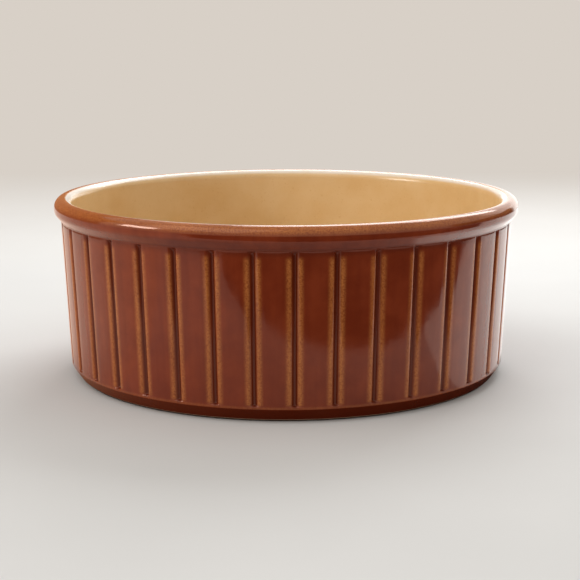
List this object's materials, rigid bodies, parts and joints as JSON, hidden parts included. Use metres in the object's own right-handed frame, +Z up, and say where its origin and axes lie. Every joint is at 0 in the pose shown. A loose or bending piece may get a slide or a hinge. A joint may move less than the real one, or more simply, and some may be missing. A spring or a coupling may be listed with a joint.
{
  "type": "casserole dish",
  "caption": "Round straight-sided stoneware casserole dish with a rolled rim and fluted wall, brown glazed outside and honey glazed inside, standing on a bare clay foot ring.",
  "frame": {"origin": "centre of the foot ring, on the table surface", "axes": "+Z up along the axis of the dish, -Y towards the front of the pictured view"},
  "size_m": [0.23, 0.23, 0.088],
  "materials": {
    "fired_clay": "matt bare stoneware",
    "brown_glaze": "glossy reddish brown, breaking to amber over edges",
    "honey_glaze": "glossy honey"
  },
  "bodies": {
    "root": {"stoneware_body": "fired_clay", "outer_glaze": "brown_glaze", "liner_glaze": "honey_glaze", "underside_glaze": "brown_glaze"}
  },
  "joints": []
}
